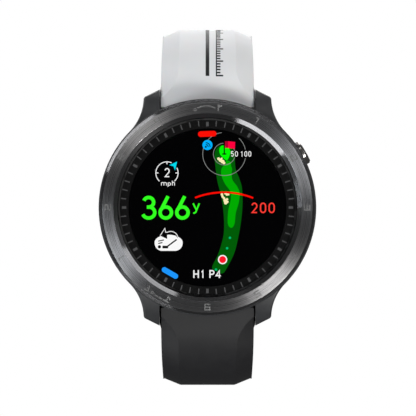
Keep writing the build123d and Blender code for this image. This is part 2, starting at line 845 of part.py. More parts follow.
nodes = {
    "case_body": case_body, "bezel_ring": bezel_ring, "cover_glass": cover_glass,
    "minute_ring": minute_ring, "minute_marks": minute_marks, "display_panel": display_panel,
    "display_flex": display_flex, "inner_frame": inner_frame, "main_board": main_board,
    "board_parts": board_parts, "shield_can": shield_can, "gps_antenna": gps_antenna,
    "board_screws": board_screws, "battery": battery, "battery_pad": battery_pad,
    "battery_connector": battery_connector, "motor_can": motor_can, "motor_shaft": motor_shaft,
    "motor_rotor": motor_rotor, "side_button": side_button, "button_seals": button_seals,
    "button_clip": button_clip, "button_spring": button_spring, "switch_body": switch_body,
    "switch_plunger": switch_plunger, "rear_cover": rear_cover, "rear_gasket": rear_gasket,
    "rear_screws": rear_screws, "contact_carrier": contact_carrier,
    "charging_contacts": charging_contacts, "vent_membrane": vent_membrane,
    "upper_strap": upper_strap, "lower_strap": lower_strap, "buckle_pin": buckle_pin,
    "buckle_frame": buckle_frame, "buckle_tongue": buckle_tongue, "fixed_keeper": fixed_keeper,
    "free_keeper": free_keeper,
}

os.makedirs("parts", exist_ok=True)
for name, make in nodes.items():
    save(name, make())
for prefix, side in (("upper", 1), ("lower", -1)):
    save(prefix + "_bar_tube", bar_tube(side))
    save(prefix + "_release_lever", release_lever(side))
    save(prefix + "_bar_spring", bar_spring(side))
save("bezel_gasket", tube(20.85, 20.15, case_top - 0.4, case_top))
save("glass_adhesive", tube(18.85, 18.5, ring_top, glass_top - glass_thickness))
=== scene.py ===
import bpy
import bmesh
import json
from math import atan2, cos, degrees, pi, radians, sin, sqrt, tan
from mathutils import Matrix, Vector
from mathutils.geometry import tessellate_polygon


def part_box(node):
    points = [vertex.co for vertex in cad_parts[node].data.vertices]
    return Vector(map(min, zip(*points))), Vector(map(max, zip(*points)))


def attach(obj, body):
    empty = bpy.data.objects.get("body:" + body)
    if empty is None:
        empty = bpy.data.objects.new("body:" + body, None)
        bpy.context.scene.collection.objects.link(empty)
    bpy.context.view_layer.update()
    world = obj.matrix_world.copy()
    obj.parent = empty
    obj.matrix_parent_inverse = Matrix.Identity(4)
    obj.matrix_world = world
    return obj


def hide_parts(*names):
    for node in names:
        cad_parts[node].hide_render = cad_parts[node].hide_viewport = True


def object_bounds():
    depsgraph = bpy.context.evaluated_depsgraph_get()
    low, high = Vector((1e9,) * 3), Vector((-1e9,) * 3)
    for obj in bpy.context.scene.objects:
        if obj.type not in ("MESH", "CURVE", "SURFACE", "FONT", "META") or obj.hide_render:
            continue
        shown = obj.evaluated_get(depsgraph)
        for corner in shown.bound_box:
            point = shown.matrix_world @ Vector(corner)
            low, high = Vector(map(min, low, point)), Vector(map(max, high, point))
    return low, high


# A golf GPS watch seen face on. The frame is in metres: +X is 3 o'clock, +Z is 12 o'clock and the
# face looks along -Y. Clock angles run clockwise from 12, as the watch is read.
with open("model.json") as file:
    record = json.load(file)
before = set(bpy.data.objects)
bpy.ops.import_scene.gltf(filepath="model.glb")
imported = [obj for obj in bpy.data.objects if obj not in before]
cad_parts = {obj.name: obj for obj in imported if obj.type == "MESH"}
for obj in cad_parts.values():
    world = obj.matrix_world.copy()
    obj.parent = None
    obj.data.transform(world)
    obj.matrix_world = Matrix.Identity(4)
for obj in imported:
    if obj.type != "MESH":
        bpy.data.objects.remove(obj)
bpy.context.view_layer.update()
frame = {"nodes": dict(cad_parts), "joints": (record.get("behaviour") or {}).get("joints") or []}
nodes = frame["nodes"]
joint_at = {j["name"]: Vector(j["pos_m"]) for j in frame["joints"] if "pos_m" in j}

mm = 0.001
across = Vector((1, 0, 0))
display_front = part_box("display_panel")[0].y
bezel_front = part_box("bezel_ring")[0].y


# ---------------- materials

def linear(red, green, blue):
    """Colour as it looks on a screen, 0 to 255, turned into the light values that shaders use."""
    def channel(value):
        value /= 255
        return value / 12.92 if value <= 0.04045 else ((value + 0.055) / 1.055) ** 2.4
    return channel(red), channel(green), channel(blue), 1.0


def toned(colour, factor):
    """The colour made darker or lighter by a factor."""
    return tuple(min(1.0, c * factor) for c in colour[:3]) + (1.0,)


class Shader:
    """A node material under construction: a Principled shader with helpers for its inputs."""

    def __init__(self, name, **sockets):
        self.material = bpy.data.materials.new(name)
        self.material.use_nodes = True
        self.tree = self.material.node_tree
        self.principled = self.tree.nodes["Principled BSDF"]
        self.output = self.tree.nodes["Material Output"]
        for socket, value in sockets.items():
            self.principled.inputs[socket.replace("_", " ")].default_value = value
        self.place = self.add("ShaderNodeTexCoord").outputs["Object"]

    def add(self, kind, **settings):
        node = self.tree.nodes.new(kind)
        for key, value in settings.items():
            setattr(node, key, value)
        return node

    def link(self, start, end):
        self.tree.links.new(start, end)

    def noise(self, scale, detail=3.0, roughness=0.5, vector=None):
        """Noise over the object; scale is the size of its features in millimetres."""
        node = self.add("ShaderNodeTexNoise")
        node.inputs["Scale"].default_value = 1 / (scale * mm)
        node.inputs["Detail"].default_value = detail
        node.inputs["Roughness"].default_value = roughness
        self.link(vector or self.place, node.inputs["Vector"])
        return node.outputs["Fac"]

    def spread(self, value, low, high):
        """A 0 to 1 texture value moved to the range low to high."""
        node = self.add("ShaderNodeMapRange")
        node.inputs["From Min"].default_value = 0.25
        node.inputs["From Max"].default_value = 0.75
        node.inputs["To Min"].default_value = low
        node.inputs["To Max"].default_value = high
        self.link(value, node.inputs["Value"])
        return node.outputs["Result"]

    def maths(self, operation, *values):
        """One sum on numbers or on other nodes' outputs."""
        node = self.add("ShaderNodeMath", operation=operation)
        for index, value in enumerate(values):
            if isinstance(value, (int, float)):
                node.inputs[index].default_value = value
            else:
                self.link(value, node.inputs[index])
        return node.outputs[0]

    def two_tone(self, value, dark, light):
        """The base colour varies between two colours as value goes from low to high."""
        node = self.add("ShaderNodeMix", data_type="RGBA")
        node.inputs["A"].default_value = dark
        node.inputs["B"].default_value = light
        self.link(self.spread(value, 0.0, 1.0), node.inputs["Factor"])
        self.link(node.outputs["Result"], self.principled.inputs["Base Color"])

    def rough(self, value, low, high):
        """The roughness varies between low and high."""
        self.link(self.spread(value, low, high), self.principled.inputs["Roughness"])

    def bump(self, value, depth, edge=0.0):
        """Bump of that depth in millimetres, over edges softened by a small radius."""
        node = self.add("ShaderNodeBump")
        node.inputs["Distance"].default_value = depth * mm
        self.link(value, node.inputs["Height"])
        if edge:
            bevel = self.add("ShaderNodeBevel", samples=4)
            bevel.inputs["Radius"].default_value = edge * mm
            self.link(bevel.outputs["Normal"], node.inputs["Normal"])
        self.link(node.outputs["Normal"], self.principled.inputs["Normal"])

    def round_axis(self):
        """Distance from the case's axis, and the position along it."""
        split = self.add("ShaderNodeSeparateXYZ")
        self.link(self.place, split.inputs[0])
        x_square = self.maths("MULTIPLY", split.outputs["X"], split.outputs["X"])
        z_square = self.maths("MULTIPLY", split.outputs["Z"], split.outputs["Z"])
        return self.maths("SQRT", self.maths("ADD", x_square, z_square)), split.outputs["Y"]

    def mix_surface(self, amount, first, second):
        """The surface goes from the first shader to the second as amount goes from 0 to 1."""
        mix = self.add("ShaderNodeMixShader")
        self.link(amount, mix.inputs["Fac"])
        self.link(first.outputs[0], mix.inputs[1])
        self.link(second.outputs[0], mix.inputs[2])
        self.link(mix.outputs[0], self.output.inputs["Surface"])


def plain(name, colour, rough, depth=0.004, grain=0.25, metallic=0.0, edge=0.05, vary=0.12):
    """A moulded, coated or cast surface: fine grain, and slight change of tone and gloss."""
    shader = Shader(name, Metallic=metallic)
    shader.two_tone(shader.noise(3.0, 4.0), toned(colour, 1 - vary), toned(colour, 1 + vary))
    shader.rough(shader.noise(1.2, 4.0), rough - 0.06, rough + 0.06)
    shader.bump(shader.noise(grain, 2.0), depth, edge)
    return shader


def turned_metal(name, colour, rough, line, depth, anisotropic, edge):
    """Metal brushed in circles round the case's axis."""
    shader = Shader(name, Metallic=1.0, Anisotropic=anisotropic)
    distance, height = shader.round_axis()
    rings = shader.add("ShaderNodeCombineXYZ")
    shader.link(distance, rings.inputs["X"])
    shader.link(height, rings.inputs["Y"])
    stray = 0.04 * mm
    shader.link(shader.maths("MULTIPLY", shader.noise(6.0, 2.0), stray), rings.inputs["Z"])
    lines = shader.noise(line, 4.0, 0.7, rings.outputs[0])
    shader.two_tone(lines, toned(colour, 0.7), toned(colour, 1.3))
    shader.rough(lines, rough - 0.07, rough + 0.07)
    shader.bump(lines, depth, edge)
    quarter_turn = 0.25
    shader.principled.inputs["Anisotropic Rotation"].default_value = quarter_turn
    tangent = shader.add("ShaderNodeTangent", direction_type="RADIAL", axis="Y")
    shader.link(tangent.outputs[0], shader.principled.inputs["Tangent"])
    return shader


def bezel_steel():
    """The bezel: a face brushed in circles, polished chamfers, and matt grey in the engraving."""
    shader = turned_metal("bezel_steel", (0.30, 0.30, 0.31, 1), rough=0.30, line=0.09, depth=0.004,
                          anisotropic=0.9, edge=0.06)
    face_inner, face_width, fall = 19.9 * mm, 2.25 * mm, 0.1 * mm
    paint_depth = 0.03 * mm
    face_tilt = -0.97
    chamfer_rough = 0.16
    distance, height = shader.round_axis()
    surface = shader.add("ShaderNodeNewGeometry")
    facing = shader.add("ShaderNodeSeparateXYZ")
    shader.link(surface.outputs["True Normal"], facing.inputs[0])
    flat = shader.maths("LESS_THAN", facing.outputs["Y"], face_tilt)
    drop = shader.maths("MULTIPLY", shader.maths("SUBTRACT", distance, face_inner), fall / face_width)
    face = shader.maths("ADD", drop, bezel_front)
    sunk = shader.maths("GREATER_THAN", shader.maths("SUBTRACT", height, face), paint_depth)
    on_face = shader.maths("LESS_THAN", distance, face_inner + face_width)
    past_chamfer = shader.maths("GREATER_THAN", distance, face_inner)
    engraved = shader.maths("MULTIPLY", sunk, shader.maths("MULTIPLY", on_face, past_chamfer))
    brushed = shader.principled.inputs["Roughness"].links[0].from_socket
    gloss = shader.add("ShaderNodeMix", data_type="FLOAT")
    gloss.inputs["A"].default_value = chamfer_rough
    shader.link(flat, gloss.inputs["Factor"])
    shader.link(brushed, gloss.inputs["B"])
    shader.link(gloss.outputs["Result"], shader.principled.inputs["Roughness"])
    paint = shader.add("ShaderNodeBsdfPrincipled")
    paint.inputs["Base Color"].default_value = linear(108, 108, 108)
    paint.inputs["Roughness"].default_value = 0.55
    shader.mix_surface(engraved, shader.principled, paint)
    return shader.material


def dull(name, colour):
    """Matt ink under the glass, with hardly any gloss of its own."""
    shader = plain(name, colour, 0.7, 0.002, 0.1)
    shader.principled.inputs["Specular IOR Level"].default_value = 0.08
    return shader.material


def dark_panel():
    """The display's black glass: nothing of it shows unless a pixel is lit."""
    shader = plain("display_black", (0.0004, 0.0004, 0.0005, 1), 0.25, depth=0.0002)
    shader.principled.inputs["Specular IOR Level"].default_value = 0.0
    return shader.material


def polished_metal(name, colour, rough):
    """Polished metal with faint hairlines and finger marks."""
    shader = Shader(name, Metallic=1.0)
    shader.two_tone(shader.noise(2.0, 3.0), toned(colour, 0.9), colour)
    shader.rough(shader.noise(1.5, 5.0), rough * 0.6, rough * 1.5)
    shader.bump(shader.noise(0.08, 2.0), 0.0006, 0.05)
    return shader


def brushed_bar(name, colour, rough):
    """Metal brushed across, along the object's X."""
    shader = Shader(name, Metallic=1.0)
    stretch = shader.add("ShaderNodeMapping")
    stretch.inputs["Scale"].default_value = (0.03, 1.0, 1.0)
    shader.link(shader.place, stretch.inputs["Vector"])
    lines = shader.noise(0.08, 4.0, 0.7, stretch.outputs[0])
    shader.two_tone(lines, toned(colour, 0.8), colour)
    shader.rough(lines, rough - 0.08, rough + 0.1)
    shader.bump(lines, 0.003, 0.08)
    return shader


def silicone(name, colour, rough, sheen, scatter):
    """Moulded silicone: a satin skin with a very fine tooth, and a little light through it."""
    shader = Shader(
        name, Subsurface_Weight=scatter, Subsurface_Scale=1.2 * mm, Sheen_Weight=sheen,
        Sheen_Roughness=0.4, IOR=1.42,
    )
    shader.two_tone(shader.noise(9.0, 4.0), toned(colour, 0.95), colour)
    shader.rough(shader.noise(2.0, 4.0), rough - 0.05, rough + 0.07)
    fine = shader.noise(0.12, 2.0)
    broad = shader.maths("MULTIPLY", shader.noise(1.6, 3.0), 1.4)
    shader.bump(shader.maths("ADD", fine, broad), 0.004)
    return shader


def lit(name, colour, strength=1.0):
    """A lit area of the display, with the panel's fine pixel grid in its brightness."""
    shader = Shader(name, Roughness=0.4)
    shader.principled.inputs["Base Color"].default_value = (0, 0, 0, 1)
    shader.principled.inputs["Specular IOR Level"].default_value = 0.0
    shader.principled.inputs["Emission Color"].default_value = colour
    pixel_pitch = 0.07 * mm
    grid = shader.add("ShaderNodeTexChecker")
    grid.inputs["Scale"].default_value = 1 / pixel_pitch
    shader.link(shader.place, grid.inputs["Vector"])
    level = shader.add("ShaderNodeMapRange")
    level.inputs["To Min"].default_value = strength * 0.97
    level.inputs["To Max"].default_value = strength * 1.03
    shader.link(grid.outputs["Fac"], level.inputs["Value"])
    shader.link(level.outputs["Result"], shader.principled.inputs["Emission Strength"])
    return shader.material


def crystal():
    """Coated cover glass: clear, with a faint reflection that grows at a slant."""
    shader = Shader("crystal", Roughness=0.02, IOR=1.45)
    shader.principled.inputs["Base Color"].default_value = (0.02, 0.02, 0.025, 1)
    shader.principled.inputs["Specular IOR Level"].default_value = 0.35
    shader.rough(shader.noise(5.0, 4.0), 0.01, 0.05)
    straight_on, at_a_slant = 0.012, 0.35
    slant = shader.add("ShaderNodeLayerWeight")
    steep = shader.maths("POWER", slant.outputs["Facing"], 4.0)
    reflected = shader.maths("MULTIPLY_ADD", steep, at_a_slant, straight_on)
    shader.mix_surface(reflected, shader.add("ShaderNodeBsdfTransparent"), shader.principled)
    return shader.material


def finish_nodes():
    """Every CAD node that shows gets its material; each material is made once."""
    looks = {
        bezel_steel(): ["bezel_ring"],
        plain("case_polymer", linear(48, 49, 51), 0.42, depth=0.006, grain=0.16).material: ["case_body"],
        crystal(): ["cover_glass"],
        dull("dial_black", linear(9, 9, 9)): ["minute_ring"],
        dull("dial_print", linear(78, 78, 79)): ["minute_marks"],
        dark_panel(): ["display_panel"],
        plain("flex_film", linear(190, 120, 40), 0.3).material: ["display_flex"],
        plain("frame_plastic", linear(40, 40, 40), 0.5).material: ["inner_frame"],
        plain("board_green", linear(24, 84, 52), 0.3, depth=0.01, grain=0.4).material: ["main_board"],
        plain("chip_black", linear(30, 30, 31), 0.45).material: ["board_parts", "battery_connector"],
        plain("tin_plate", (0.62, 0.62, 0.60, 1), 0.35, depth=0.004, grain=0.5, metallic=1.0).material: [
            "shield_can", "motor_can"],
        plain("antenna_ceramic", linear(215, 205, 180), 0.45).material: ["gps_antenna"],
        brushed_bar("screw_steel", (0.50, 0.50, 0.50, 1), 0.32).material: [
            "board_screws", "rear_screws", "button_clip", "upper_bar_tube", "lower_bar_tube",
            "upper_release_lever", "lower_release_lever"],
        plain("cell_wrap", (0.55, 0.56, 0.58, 1), 0.4, depth=0.01, grain=0.8, metallic=1.0).material: [
            "battery"],
        plain("foam", linear(45, 45, 45), 0.9, depth=0.05, grain=0.3).material: ["battery_pad"],
        plain("motor_brass", (0.60, 0.45, 0.20, 1), 0.35, depth=0.003, grain=0.2, metallic=1.0).material: [
            "motor_rotor", "motor_shaft"],
        polished_metal("button_steel", (0.62, 0.60, 0.58, 1), 0.16).material: ["side_button"],
        plain("seal_rubber", linear(24, 24, 24), 0.6).material: [
            "button_seals", "bezel_gasket", "rear_gasket", "glass_adhesive"],
        polished_metal("spring_wire", (0.62, 0.62, 0.62, 1), 0.25).material: [
            "button_spring", "upper_bar_spring", "lower_bar_spring"],
        plain("switch_white", linear(225, 225, 220), 0.45).material: ["switch_body", "switch_plunger"],
        plain("cover_polymer", linear(44, 44, 46), 0.5, depth=0.01, grain=0.3).material: ["rear_cover"],
        plain("carrier_polymer", linear(26, 26, 27), 0.35).material: ["contact_carrier"],
        polished_metal("gold_plate", (0.90, 0.66, 0.26, 1), 0.2).material: ["charging_contacts"],
        plain("vent_film", linear(200, 200, 200), 0.8, depth=0.01, grain=0.1).material: ["vent_membrane"],
        brushed_bar("buckle_steel", (0.30, 0.30, 0.31, 1), 0.3).material: [
            "buckle_frame", "buckle_tongue", "buckle_pin"],
    }
    for material, names in looks.items():
        for name in names:
            mesh = nodes[name].data
            mesh.materials.clear()
            mesh.materials.append(material)


# ---------------- mesh helpers

def closed_mesh(name, vertices, faces):
    """A mesh whose faces all point outwards."""
    mesh = bpy.data.meshes.new(name)
    mesh.from_pydata(vertices, [], faces)
    mesh.validate()
    tidy = bmesh.new()
    tidy.from_mesh(mesh)
    bmesh.ops.recalc_face_normals(tidy, faces=tidy.faces)
    tidy.to_mesh(mesh)
    tidy.free()
    return mesh


def new_piece(name, vertices, faces, material, body, smooth_below=None):
    """A mesh object in the frame, riding on a body. Angles over smooth_below degrees stay sharp."""
    mesh = closed_mesh(name, vertices, faces)
    mesh.materials.append(material)
    if smooth_below:
        mesh.shade_smooth()
        mesh.set_sharp_from_angle(angle=radians(smooth_below))
    piece = bpy.data.objects.new(name, mesh)
    bpy.context.scene.collection.objects.link(piece)
    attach(piece, body)
    return piece


def arc(cx, cy, rx, ry, start, end, steps=14):
    """Points along an ellipse from one angle to another, in degrees, anticlockwise from +x."""
    turn = [radians(start + (end - start) * i / steps) for i in range(steps + 1)]
    return [(cx + rx * cos(a), cy + ry * sin(a)) for a in turn]


def clock_arc(cx, cy, radius, start, end, steps=40):
    """Points along a circle between two clock angles, clockwise from the top."""
    turn = [radians(start + (end - start) * i / steps) for i in range(steps + 1)]
    return [(cx + radius * sin(a), cy + radius * cos(a)) for a in turn]


def smooth_loop(points, steps=6):
    """A closed curve through the points."""
    count = len(points)
    curve = []
    for i in range(count):
        p0, p1, p2, p3 = (Vector(points[(i + k) % count]) for k in (-1, 0, 1, 2))
        for s in range(steps):
            t = s / steps
            curve.append(tuple(
                0.5 * ((2 * p1) + (p2 - p0) * t + (2 * p0 - 5 * p1 + 4 * p2 - p3) * t * t
                       + (3 * p1 - p0 - 3 * p2 + p3) * t ** 3)))
    return curve


def rectangle(left, right, low, high):
    """The corners of a rectangle, anticlockwise."""
    return [(left, low), (right, low), (right, high), (left, high)]


def rounded_rectangle(left, right, low, high, radius, steps):
    """(x, y, outward x, outward y) at points round a rectangle with rounded corners."""
    loop = []
    for x, y, start in ((right - radius, high - radius, 0), (left + radius, high - radius, 90),
                        (left + radius, low + radius, 180), (right - radius, low + radius, 270)):
        for step in range(steps + 1):
            a = radians(start + 90 * step / steps)
            loop.append((x + radius * cos(a), y + radius * sin(a), cos(a), sin(a)))
    return loop


def between_rings(rows, count, joined=False):
    """Faces between neighbouring rings of count points; joined closes the last ring to the first."""
    faces = []
    for r in range(rows if joined else rows - 1):
        s = (r + 1) % rows
        for c in range(count):
            n = (c + 1) % count
            faces.append((r * count + c, r * count + n, s * count + n, s * count + c))
    return faces


# ---------------- display graphics

class Ink:
    """Flat shapes of one colour on the display, in millimetres from its centre. level is the layer,
    counted up from the panel towards the glass. Shapes can be added one after another."""
    layer_step = 0.016 * mm
    thickness = 0.010 * mm

    def __init__(self, name, colour, level, strength=1.0):
        self.name = name
        self.material = lit(name, linear(*colour), strength)
        self.front = display_front - level * self.layer_step
        self.vertices = []
        self.faces = []

    def prism(self, loop, triangles):
        """A flat closed solid over a loop of points."""
        base = len(self.vertices)
        count = len(loop)
        for depth in (0.0, self.thickness):
            self.vertices += [(x * mm, self.front - self.thickness + depth, z * mm) for x, z in loop]
        for a, b, c in triangles:
            self.faces.append((base + a, base + b, base + c))
            self.faces.append((base + count + c, base + count + b, base + count + a))
        for i in range(count):
            j = (i + 1) % count
            self.faces.append((base + i, base + j, base + count + j, base + count + i))

    def fill(self, loop):
        flat = [Vector((x, z, 0.0)) for x, z in loop]
        self.prism(loop, tessellate_polygon([flat]))
        return self

    def disc(self, cx, cy, radius):
        return self.fill(clock_arc(cx, cy, radius, 0, 352, 44))

    def stroke(self, points, width, closed=False):
        """A line of that width along the points, with mitred corners and square ends."""
        count = len(points)
        left, right = [], []
        for i, point in enumerate(points):
            here = Vector(point)
            before = Vector(points[i - 1]) if i or closed else None
            after = Vector(points[(i + 1) % count]) if i < count - 1 or closed else None
            ways = [(here - before).normalized()] if before is not None else []
            ways += [(after - here).normalized()] if after is not None else []
            way = sum(ways, Vector((0.0, 0.0))).normalized()
            side = Vector((-way.y, way.x))
            reach = width / 2 / max(0.5, abs(side.dot(Vector((-ways[0].y, ways[0].x)))))
            left.append(here + side * reach)
            right.append(here - side * reach)
        spans = count if closed else count - 1
        if closed:
            left.append(left[0])
            right.append(right[0])
        for i in range(spans):
            quad = [tuple(left[i]), tuple(left[i + 1]), tuple(right[i + 1]), tuple(right[i])]
            self.prism(quad, [(0, 1, 2), (0, 2, 3)])
        return self

    def bar(self, start, end, width):
        """A straight bar with round ends."""
        way = Vector(end) - Vector(start)
        heading = degrees(atan2(way.y, way.x))
        r = width / 2
        far_end = arc(*end, r, r, heading - 90, heading + 90)
        near_end = arc(*start, r, r, heading + 90, heading + 270)
        return self.fill(far_end + near_end)

    def write(self, text, left, base, height, width, pitch, line):
        """Figures and unit letters drawn as strokes of width line, from a left edge and a base. Each
        fills width by height, and pitch is the step from one to the next."""
        for place, sign in enumerate(text):
            for points, closed in letter_strokes.get(sign, []):
                x0 = left + place * pitch + line / 2
                sized = [
                    (x0 + x * (width - line), base + line / 2 + y * (height - line)) for x, y in points]
                self.stroke(sized, line, closed)
        return self

    def make(self):
        return new_piece("display_" + self.name, self.vertices, self.faces, self.material, "case")


# Each sign is a list of (points, closed) on a unit box that its centre lines touch.
letter_strokes = {
    "0": [(arc(0.5, 0.68, 0.5, 0.32, 0, 180) + arc(0.5, 0.32, 0.5, 0.32, 180, 360), True)],
    "1": [([(0.15, 0.76), (0.6, 1.0), (0.6, -0.08)], False)],
    "2": [(arc(0.5, 0.70, 0.48, 0.30, 165, -30) + [(0.05, 0.0), (1.0, 0.0)], False)],
    "3": [(arc(0.46, 0.765, 0.44, 0.235, 160, -90) + [(0.3, 0.53)], False),
          (arc(0.46, 0.27, 0.54, 0.27, 78, -160), False)],
    "4": [([(0.72, -0.08), (0.72, 1.0), (0.0, 0.26), (1.05, 0.26)], False)],
    "5": [([(0.92, 1.0), (0.12, 1.0), (0.06, 0.55)] + arc(0.5, 0.32, 0.48, 0.32, 120, -150), False)],
    "6": [(arc(0.5, 0.27, 0.5, 0.27, 0, 345, 23), True), ([(0.70, 1.06), (0.09, 0.40)], False)],
    "H": [([(0.0, -0.08), (0.0, 1.08)], False), ([(1.0, -0.08), (1.0, 1.08)], False),
          ([(0.0, 0.5), (1.0, 0.5)], False)],
    "P": [([(0.0, -0.08), (0.0, 1.0)] + arc(0.55, 0.73, 0.45, 0.27, 90, -90) + [(0.0, 0.46)], False)],
    "m": [([(0.0, -0.1), (0.0, 0.72)], False),
          ([(0.0, 0.5)] + arc(0.25, 0.45, 0.25, 0.25, 160, 0) + [(0.5, -0.1)], False),
          ([(0.5, 0.5)] + arc(0.75, 0.45, 0.25, 0.25, 160, 0) + [(1.0, -0.1)], False)],
    "p": [([(0.0, -0.5), (0.0, 0.72)], False), (arc(0.5, 0.32, 0.5, 0.36, 170, -170), False)],
    "h": [([(0.0, -0.1), (0.0, 1.1)], False),
          ([(0.0, 0.45)] + arc(0.48, 0.42, 0.46, 0.30, 160, 0) + [(0.94, -0.1)], False)],
    "y": [([(0.0, 1.0), (0.5, 0.36)], False),
          ([(1.0, 1.0), (0.42, 0.10), (0.2, 0.0), (0.02, 0.02)], False)],
}


def draw_course():
    """The hole seen from above: rough, fairway, green, bunkers, marked ranges and the flag."""
    Ink("rough", (0, 92, 6), 1).fill(smooth_loop([
        (3.1, 13.2), (1.9, 12.4), (1.5, 11.0), (1.7, 8.6), (2.1, 5.6), (2.9, 2.4), (3.4, -1.1), (3.5, -4.8),
        (3.1, -7.2), (2.2, -10.0), (1.0, -12.6), (1.8, -13.4), (3.2, -13.9), (4.3, -12.4), (5.7, -9.5),
        (6.5, -6.3), (7.1, -2.8), (7.4, 0.7), (7.3, 4.0), (6.8, 5.9), (6.0, 8.0), (5.8, 9.6), (5.7, 11.4),
        (4.7, 13.0),
    ])).make()
    Ink("fairway", (0, 172, 0), 2).fill(smooth_loop([
        (3.4, 8.8), (2.9, 7.9), (3.0, 6.6), (3.7, 5.0), (4.8, 3.4), (4.9, 1.6), (4.4, -0.6), (4.3, -3.4),
        (5.0, -4.3), (5.7, -3.5), (6.0, -1.1), (6.6, 1.0), (6.8, 3.0), (6.3, 4.4), (5.3, 5.8), (5.1, 7.2),
        (5.2, 8.2), (4.6, 9.2),
    ])).fill(smooth_loop([(3.9, 9.9), (4.9, 9.6), (4.9, 8.6), (4.2, 8.5)])).make()
    Ink("green", (0, 250, 0), 3).fill(smooth_loop([
        (3.3, 13.1), (2.55, 12.5), (2.6, 11.4), (3.3, 10.5), (4.1, 10.0), (4.65, 10.9), (4.75, 12.2),
    ])).make()
    sand = Ink("bunkers", (252, 240, 185), 3)
    lobes = [(2.35, 10.3, 0.3), (2.75, 10.0, 0.38), (3.2, 9.7, 0.4), (3.5, 9.4, 0.28), (3.0, 10.35, 0.2)]
    lobes += [(3.05, 2.75, 0.27), (3.2, 2.3, 0.26), (3.5, 1.95, 0.27), (3.75, 1.45, 0.38),
              (4.15, 1.75, 0.24), (3.85, 1.0, 0.36), (4.2, 1.2, 0.26), (3.75, 2.95, 0.2),
              (4.1, 2.75, 0.27), (4.45, 2.75, 0.2)]
    for lobe in lobes:
        sand.disc(*lobe)
    sand.make()
    cup = (3.55, 11.3)
    ranges = Ink("range_circles", (132, 134, 132), 4)
    ranges.stroke(clock_arc(*cup, 4.55, 43, 78), 0.13).stroke(clock_arc(*cup, 4.55, 101, 353), 0.13)
    ranges.stroke(clock_arc(*cup, 2.3, 108, 356), 0.13).stroke(clock_arc(*cup, 2.3, 52, 74), 0.13)
    ranges.make()
    pole = Ink("flag_pole", (4, 4, 4), 5)
    pole.stroke([(cup[0], 13.95), cup], 0.26).fill(arc(*cup, 0.52, 0.15, 0, 345, 23)).make()
    Ink("flag_shade", (175, 0, 45), 5).fill([(3.7, 14.0), (4.35, 14.0), (4.35, 12.55), (3.7, 12.55)]).make()
    Ink("flag", (255, 0, 62), 5).fill([(4.35, 14.0), (5.85, 13.85), (5.8, 12.4), (4.35, 12.55)]).make()
    teal = Ink("aim_points", (0, 190, 110), 5)
    for spot in ((4.75, -6.4), (4.15, -8.6), (1.8, -13.1)):
        teal.disc(*spot, 0.26)
    teal.make()
    Ink("ball_rim", (250, 250, 250), 5).disc(3.2, -11.0, 0.98).make()
    Ink("ball", (255, 22, 40), 6).disc(3.2, -11.0, 0.74).make()


def draw_readouts():
    """Distances, wind, hole and par, and the soft keys."""
    Ink("distance", (50, 255, 32), 5).write("366", -13.9, -2.6, 5.1, 3.15, 3.52, 0.74).make()
    Ink("unit", (50, 255, 32), 5).write("y", -3.2, -1.35, 2.4, 1.65, 2.0, 0.34).make()
    line = Ink("carry_line", (255, 10, 0), 5)
    line.stroke(arc(3.45, -13.5, 16.7, 16.7, 111.3, 68.2, 40), 0.38).make()
    Ink("carry", (255, 62, 52), 5).write("200", 9.25, -1.2, 2.25, 1.35, 1.82, 0.29).make()
    white = Ink("white_readouts", (245, 245, 245), 6)
    white.write("50", 4.95, 10.75, 1.15, 0.62, 0.86, 0.15)
    white.write("100", 6.95, 10.75, 1.15, 0.62, 0.84, 0.15)
    white.write("2", -9.1, 6.4, 1.95, 1.15, 1.4, 0.24)
    white.write("m", -9.8, 4.65, 0.95, 1.2, 1.4, 0.15)
    white.write("p", -8.4, 4.65, 0.9, 0.7, 0.95, 0.15).write("h", -7.5, 4.65, 1.0, 0.65, 0.95, 0.15)
    white.write("H", -3.0, -14.9, 1.7, 1.2, 1.3, 0.27).write("1", -1.45, -14.9, 1.7, 0.85, 1.0, 0.27)
    white.write("P", 0.4, -14.9, 1.7, 1.1, 1.3, 0.27).write("4", 1.7, -14.9, 1.7, 1.2, 1.3, 0.27)
    gauge, gauge_radius, tick_end = (-8.55, 7.3), 2.35, 2.4
    for start, end in ((-138, 24), (62, 138)):
        white.stroke(clock_arc(*gauge, gauge_radius, start, end), 0.18)
    for heading, reach in ((0, 0.55), (90, 0.6), (-90, 0.6)):
        ends = (tick_end - reach, tick_end)
        white.stroke([clock_arc(*gauge, r, heading, heading, 1)[0] for r in ends], 0.2)
    white.make()
    arrow = [(-6.4, 9.7), (-8.05, 8.95), (-7.15, 8.7), (-6.85, 7.85)]
    Ink("wind_arrow", (0, 222, 242), 7).fill(arrow).make()
    Ink("upper_key", (255, 14, 4), 5).bar((-1.4, 15.5), (1.3, 15.6), 1.2).make()
    Ink("lower_key", (28, 150, 255), 5).bar((-9.1, -13.15), (-6.75, -14.5), 1.12).make()
    Ink("link_disc", (0, 178, 255), 6).disc(0.0, 13.2, 1.06).make()
    waves = Ink("link_waves", (2, 16, 26), 7)
    waves.disc(-0.35, 12.8, 0.2)
    for reach in (0.5, 0.9):
        waves.stroke(clock_arc(-0.35, 12.8, reach, 0, 90, 10), 0.19)
    waves.make()


